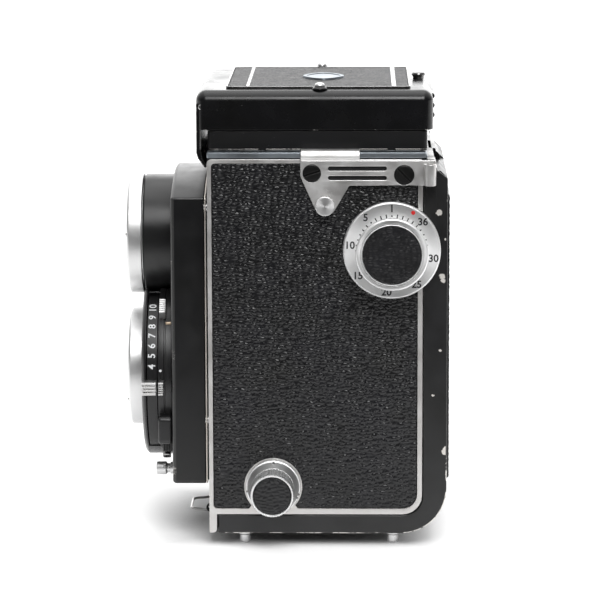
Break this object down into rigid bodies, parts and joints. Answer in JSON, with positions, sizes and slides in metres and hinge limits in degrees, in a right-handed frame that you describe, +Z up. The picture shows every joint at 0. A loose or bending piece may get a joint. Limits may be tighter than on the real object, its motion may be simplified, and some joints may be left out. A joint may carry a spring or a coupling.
{
  "type": "twin lens reflex camera",
  "caption": "Twin lens reflex camera: leather-covered box body with two stacked lenses on a focusing front, folding hood, hinged back door, knobs and film chambers.",
  "frame": {"origin": "on the ground under the middle of the camera's box", "axes": "+Z up, -Y the way the lenses look, +X the user's left"},
  "size_m": [0.104, 0.0996, 0.142],
  "materials": {
    "shell_black": "matte black inside, cast light alloy",
    "black_enamel": "smooth black enamel with a soft gloss",
    "black_satin": "satin black lacquer on light alloy",
    "standard_black": "satin black paint on cast light alloy",
    "leatherette": "black pebbled leatherette",
    "satin_chrome": "satin silver",
    "bright_chrome": "bright chrome plate",
    "steel": "bare steel",
    "spool_black": "black film spool",
    "lens_glass": "coated optical glass",
    "screen_glass": "ground glass",
    "mirror": "front-silvered glass"
  },
  "bodies": {
    "body": {"body_shell": "shell_black", "side_trim_left": "satin_chrome", "side_leather_left": "leatherette", "side_trim_right": "satin_chrome", "side_leather_right": "leatherette", "top_deck": "satin_chrome", "focusing_screen": "screen_glass", "hood_base": "black_enamel", "reflex_mirror": "mirror", "film_gate": "black_satin", "hood_front_shield": "black_enamel", "door_hinge_pin": "steel", "door_hinge_cover": "black_enamel", "strap_plate_left": "bright_chrome", "strap_plate_right": "bright_chrome", "supply_bezel": "satin_chrome", "supply_pivot": "steel"},
    "lens_standard": {"front_standard": "standard_black", "viewing_barrel": "black_satin", "viewing_lens": "lens_glass", "viewing_bayonet": "bright_chrome", "shutter_case": "black_satin", "taking_bayonet": "bright_chrome", "taking_lens": "lens_glass", "taking_rear_cell": "black_satin", "taking_rear_lens": "lens_glass", "flash_socket": "bright_chrome"},
    "ev_ring": {"ev_scale": "black_satin", "ev_lever": "bright_chrome"},
    "speed_lever": {"speed_lever": "bright_chrome"},
    "aperture_lever": {"aperture_lever": "bright_chrome"},
    "cocking_lever": {"cocking_lever": "bright_chrome"},
    "focus_knob": {"focus_knob": "satin_chrome"},
    "winding_knob": {"winding_knob": "satin_chrome"},
    "takeup_spool": {"takeup_spool": "spool_black"},
    "counter_knob": {"counter_dial": "satin_chrome", "counter_knob": "satin_chrome"},
    "supply_spool": {"supply_spool": "spool_black"},
    "supply_knob": {"supply_knob": "satin_chrome"},
    "film_roller_lower": {"film_roller_lower": "steel"},
    "film_roller_upper": {"film_roller_upper": "steel"},
    "back_door": {"back_door": "black_enamel", "back_leather": "leatherette", "tripod_socket": "satin_chrome", "foot_front_left": "bright_chrome", "foot_front_right": "bright_chrome", "foot_rear_left": "bright_chrome", "foot_rear_right": "bright_chrome"},
    "pressure_plate": {"pressure_plate": "black_satin"},
    "latch_bail": {"latch_bail": "steel"},
    "hood_lid": {"hood_lid": "black_enamel", "lid_leather": "leatherette", "lid_stud_left": "bright_chrome", "lid_stud_right": "bright_chrome", "lid_catch": "steel", "magnifier_frame": "black_satin", "magnifier_lens": "lens_glass"},
    "hood_leaf_left": {"hood_leaf_left": "black_satin"},
    "hood_leaf_right": {"hood_leaf_right": "black_satin"},
    "hood_leaf_rear": {"hood_leaf_rear": "black_satin"}
  },
  "joints": [
    {"name": "focus_turn", "type": "hinge", "parent": "body", "child": "focus_knob", "pos_m": [0, -0.01175, 0.0648], "axis": [-1, 0, 0], "range_deg": [0, 280]},
    {"name": "standard_slide", "type": "slide", "parent": "body", "child": "lens_standard", "axis": [0, -1, 0], "range_m": [0, 0.007]},
    {"name": "ev_turn", "type": "hinge", "parent": "lens_standard", "child": "ev_ring", "pos_m": [0, -0.04175, 0.0494], "axis": [0, -1, 0], "range_deg": [-45, 6]},
    {"name": "speed_turn", "type": "hinge", "parent": "lens_standard", "child": "speed_lever", "pos_m": [0, -0.03875, 0.0494], "axis": [0, -1, 0], "range_deg": [0, 38]},
    {"name": "aperture_turn", "type": "hinge", "parent": "lens_standard", "child": "aperture_lever", "pos_m": [0, -0.03875, 0.0494], "axis": [0, -1, 0], "range_deg": [0, 12]},
    {"name": "cocking_swing", "type": "hinge", "parent": "lens_standard", "child": "cocking_lever", "pos_m": [0, -0.03775, 0.0494], "axis": [0, -1, 0], "range_deg": [-14, 0], "stiffness_Nm_per_rad": 0.02, "springref_deg": 2.86},
    {"name": "wind_turn", "type": "hinge", "parent": "body", "child": "winding_knob", "pos_m": [0, 0.03195, 0.0923], "axis": [-1, 0, 0], "continuous": true},
    {"name": "takeup_turn", "type": "hinge", "parent": "body", "child": "takeup_spool", "pos_m": [0, 0.03195, 0.0923], "axis": [-1, 0, 0], "continuous": true},
    {"name": "counter_knob_pull", "type": "slide", "parent": "takeup_spool", "child": "counter_knob", "axis": [1, 0, 0], "range_m": [0, 0.006], "stiffness_N_per_m": 150, "springref_m": -0.004},
    {"name": "supply_turn", "type": "hinge", "parent": "body", "child": "supply_spool", "pos_m": [0, -0.00415, 0.0187], "axis": [-1, 0, 0], "continuous": true},
    {"name": "supply_knob_pull", "type": "slide", "parent": "supply_spool", "child": "supply_knob", "axis": [1, 0, 0], "range_m": [0, 0.006], "stiffness_N_per_m": 150, "springref_m": -0.004},
    {"name": "roller_lower_turn", "type": "hinge", "parent": "body", "child": "film_roller_lower", "pos_m": [0, 0.03665, 0.0174], "axis": [1, 0, 0], "continuous": true},
    {"name": "roller_upper_turn", "type": "hinge", "parent": "body", "child": "film_roller_upper", "pos_m": [0, 0.04085, 0.081], "axis": [1, 0, 0], "continuous": true},
    {"name": "door_swing", "type": "hinge", "parent": "body", "child": "back_door", "pos_m": [0, 0.04485, 0.1164], "axis": [1, 0, 0], "range_deg": [0, 105]},
    {"name": "pressure_plate_slide", "type": "slide", "parent": "back_door", "child": "pressure_plate", "axis": [0, 1, 0], "range_m": [0, 0.0015], "stiffness_N_per_m": 300, "springref_m": -0.002},
    {"name": "latch_swing", "type": "hinge", "parent": "body", "child": "latch_bail", "pos_m": [0, -0.02475, 0.0056], "axis": [1, 0, 0], "range_deg": [0, 40]},
    {"name": "lid_lift", "type": "hinge", "parent": "body", "child": "hood_lid", "pos_m": [0, -0.02555, 0.1349], "axis": [1, 0, 0], "range_deg": [0, 90]},
    {"name": "leaf_left_lift", "type": "hinge", "parent": "body", "child": "hood_leaf_left", "pos_m": [0.034, -0.02375, 0.129], "axis": [0, 1, 0], "range_deg": [0, 90]},
    {"name": "leaf_right_lift", "type": "hinge", "parent": "body", "child": "hood_leaf_right", "pos_m": [-0.034, -0.02375, 0.129], "axis": [0, -1, 0], "range_deg": [0, 90]},
    {"name": "leaf_rear_lift", "type": "hinge", "parent": "body", "child": "hood_leaf_rear", "pos_m": [0, 0.04025, 0.131], "axis": [-1, 0, 0], "range_deg": [0, 90]}
  ],
  "couplings": [
    {"joint": "focus_turn", "follows": "standard_slide", "rad_per_m": 698.1},
    {"joint": "takeup_turn", "follows": "wind_turn", "ratio": 1},
    {"joint": "leaf_left_lift", "follows": "lid_lift", "ratio": 1},
    {"joint": "leaf_right_lift", "follows": "lid_lift", "ratio": 1},
    {"joint": "leaf_rear_lift", "follows": "lid_lift", "ratio": 1}
  ]
}
